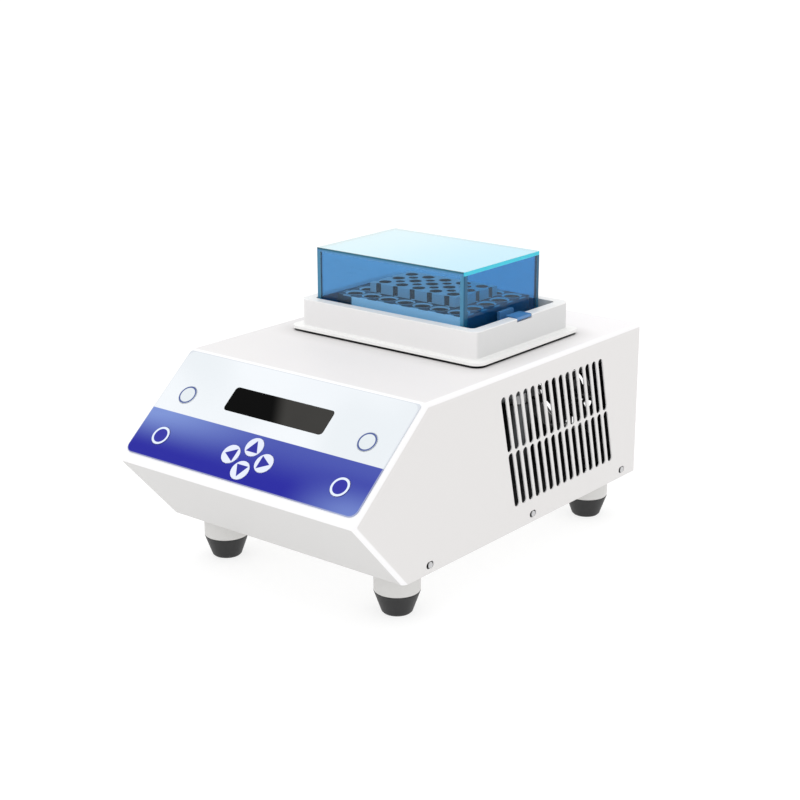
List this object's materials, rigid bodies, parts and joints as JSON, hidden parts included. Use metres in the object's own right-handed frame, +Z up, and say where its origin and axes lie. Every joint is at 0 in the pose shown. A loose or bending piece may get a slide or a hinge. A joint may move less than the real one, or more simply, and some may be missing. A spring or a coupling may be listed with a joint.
{
  "type": "dry bath incubator",
  "caption": "Bench dry block heater that mixes: white slotted housing, sloping key panel, orbiting tray with a drilled heating block under a clear blue lid.",
  "frame": {"origin": "on the surface that the feet stand on, under the middle of the whole object", "axes": "+Z up, +Y towards the rear panel (the sloping control panel faces -Y), +X to the right seen from the front"},
  "size_m": [0.1944, 0.3001, 0.1927],
  "materials": {
    "housing_paint": "fine powder coat, satin",
    "frame_plastic": "satin moulding",
    "overlay_print": "printed film, blue below and white above",
    "key_plastic": "printed film over a cap",
    "display_black": "smoked window",
    "lid_clear": "clear blue acrylic",
    "lid_tab_blue": "blue acrylic",
    "block_metal": "dark anodised, bright at the well mouths",
    "heater_metal": "milled",
    "deck_dark": "matt black",
    "foot_rubber": "matt",
    "spacer_plastic": "satin",
    "screw_steel": "plated",
    "motor_paint": "satin",
    "black_plastic": "fine texture",
    "board_green": "solder mask",
    "heater_rubber": "silicone sheet",
    "insulation_felt": "fibre board",
    "fuse_glass": "clear tube"
  },
  "bodies": {
    "base": {"housing_cover": "housing_paint", "rear_panel": "housing_paint", "base_plate": "housing_paint", "membrane_overlay": "overlay_print", "display_window": "display_black", "motor_bridge": "heater_metal", "idler_posts": "heater_metal", "power_supply": "heater_metal", "foot_rubber_front_left": "foot_rubber", "foot_rubber_front_right": "foot_rubber", "foot_rubber_rear_left": "foot_rubber", "foot_rubber_rear_right": "foot_rubber", "foot_spacers": "spacer_plastic", "board_posts": "spacer_plastic", "side_screws": "screw_steel", "foot_screws": "screw_steel", "foot_nuts": "screw_steel", "base_screws": "screw_steel", "motor_screws": "screw_steel", "fan_screws": "screw_steel", "post_bearings": "screw_steel", "motor_case": "motor_paint", "fan_frame": "black_plastic", "fan_guard": "black_plastic", "power_inlet": "black_plastic", "switch_frame": "black_plastic", "display_module": "black_plastic", "key_board": "board_green", "main_board": "board_green"},
    "drive": {"motor_shaft": "screw_steel", "drive_eccentric": "heater_metal"},
    "platform": {"platform_plate": "heater_metal", "platform_bearings": "screw_steel", "platform_frame": "frame_plastic", "deck_plate": "deck_dark", "heating_block": "block_metal", "heater_plate": "heater_metal", "heater_mat": "heater_rubber", "insulation_pad": "insulation_felt", "temperature_probe": "screw_steel", "block_screws": "screw_steel", "frame_screws": "screw_steel"},
    "lid": {"lid": "lid_clear", "lid_tab": "lid_tab_blue"},
    "fan": {"fan_rotor": "black_plastic"},
    "rocker": {"power_rocker": "black_plastic"},
    "fuse_drawer": {"fuse_drawer": "black_plastic", "fuse": "fuse_glass"},
    "idler_front_left": {"idler_crank_front_left": "screw_steel"},
    "idler_front_right": {"idler_crank_front_right": "screw_steel"},
    "idler_rear_left": {"idler_crank_rear_left": "screw_steel"},
    "idler_rear_right": {"idler_crank_rear_right": "screw_steel"},
    "key_lower_left_body": {"key_lower_left": "key_plastic"},
    "key_lower_right_body": {"key_lower_right": "key_plastic"},
    "key_upper_left_body": {"key_upper_left": "key_plastic"},
    "key_upper_right_body": {"key_upper_right": "key_plastic"},
    "key_up_body": {"key_up": "key_plastic"},
    "key_down_body": {"key_down": "key_plastic"},
    "key_left_body": {"key_left": "key_plastic"},
    "key_right_body": {"key_right": "key_plastic"}
  },
  "joints": [
    {"name": "drive_spin", "type": "hinge", "parent": "base", "child": "drive", "pos_m": [-0.0015, 0.0475, 0.09], "axis": [0, 0, 1], "continuous": true},
    {"name": "platform_turn", "type": "hinge", "parent": "drive", "child": "platform", "pos_m": [0, 0.0475, 0.1005], "axis": [0, 0, 1], "continuous": true},
    {"name": "lid_lift", "type": "slide", "parent": "platform", "child": "lid", "axis": [0, 0, 1], "range_m": [0, 0.06]},
    {"name": "fan_spin", "type": "hinge", "parent": "base", "child": "fan", "pos_m": [0.044, 0.138, 0.0828], "axis": [0, 1, 0], "continuous": true},
    {"name": "rocker_tip", "type": "hinge", "parent": "base", "child": "rocker", "pos_m": [-0.052, 0.1458, 0.0988], "axis": [1, 0, 0], "range_deg": [0, 20]},
    {"name": "fuse_drawer_slide", "type": "slide", "parent": "base", "child": "fuse_drawer", "axis": [0, 1, 0], "range_m": [0, 0.014]},
    {"name": "idler_front_left_spin", "type": "hinge", "parent": "base", "child": "idler_front_left", "pos_m": [-0.0455, 0.0135, 0.093], "axis": [0, 0, 1], "continuous": true},
    {"name": "idler_front_right_spin", "type": "hinge", "parent": "base", "child": "idler_front_right", "pos_m": [0.0425, 0.0135, 0.093], "axis": [0, 0, 1], "continuous": true},
    {"name": "idler_rear_left_spin", "type": "hinge", "parent": "base", "child": "idler_rear_left", "pos_m": [-0.0455, 0.0815, 0.093], "axis": [0, 0, 1], "continuous": true},
    {"name": "idler_rear_right_spin", "type": "hinge", "parent": "base", "child": "idler_rear_right", "pos_m": [0.0425, 0.0815, 0.093], "axis": [0, 0, 1], "continuous": true},
    {"name": "key_lower_left_press", "type": "slide", "parent": "base", "child": "key_lower_left_body", "axis": [0, 0.6466, -0.7629], "range_m": [0, 0.0004], "stiffness_N_per_m": 1500},
    {"name": "key_lower_right_press", "type": "slide", "parent": "base", "child": "key_lower_right_body", "axis": [0, 0.6466, -0.7629], "range_m": [0, 0.0004], "stiffness_N_per_m": 1500},
    {"name": "key_upper_left_press", "type": "slide", "parent": "base", "child": "key_upper_left_body", "axis": [0, 0.6466, -0.7629], "range_m": [0, 0.0004], "stiffness_N_per_m": 1500},
    {"name": "key_upper_right_press", "type": "slide", "parent": "base", "child": "key_upper_right_body", "axis": [0, 0.6466, -0.7629], "range_m": [0, 0.0004], "stiffness_N_per_m": 1500},
    {"name": "key_up_press", "type": "slide", "parent": "base", "child": "key_up_body", "axis": [0, 0.6466, -0.7629], "range_m": [0, 0.0004], "stiffness_N_per_m": 1500},
    {"name": "key_down_press", "type": "slide", "parent": "base", "child": "key_down_body", "axis": [0, 0.6466, -0.7629], "range_m": [0, 0.0004], "stiffness_N_per_m": 1500},
    {"name": "key_left_press", "type": "slide", "parent": "base", "child": "key_left_body", "axis": [0, 0.6466, -0.7629], "range_m": [0, 0.0004], "stiffness_N_per_m": 1500},
    {"name": "key_right_press", "type": "slide", "parent": "base", "child": "key_right_body", "axis": [0, 0.6466, -0.7629], "range_m": [0, 0.0004], "stiffness_N_per_m": 1500}
  ],
  "couplings": [
    {"joint": "platform_turn", "follows": "drive_spin", "ratio": -1},
    {"joint": "idler_front_left_spin", "follows": "drive_spin", "ratio": 1},
    {"joint": "idler_front_right_spin", "follows": "drive_spin", "ratio": 1},
    {"joint": "idler_rear_left_spin", "follows": "drive_spin", "ratio": 1},
    {"joint": "idler_rear_right_spin", "follows": "drive_spin", "ratio": 1}
  ]
}
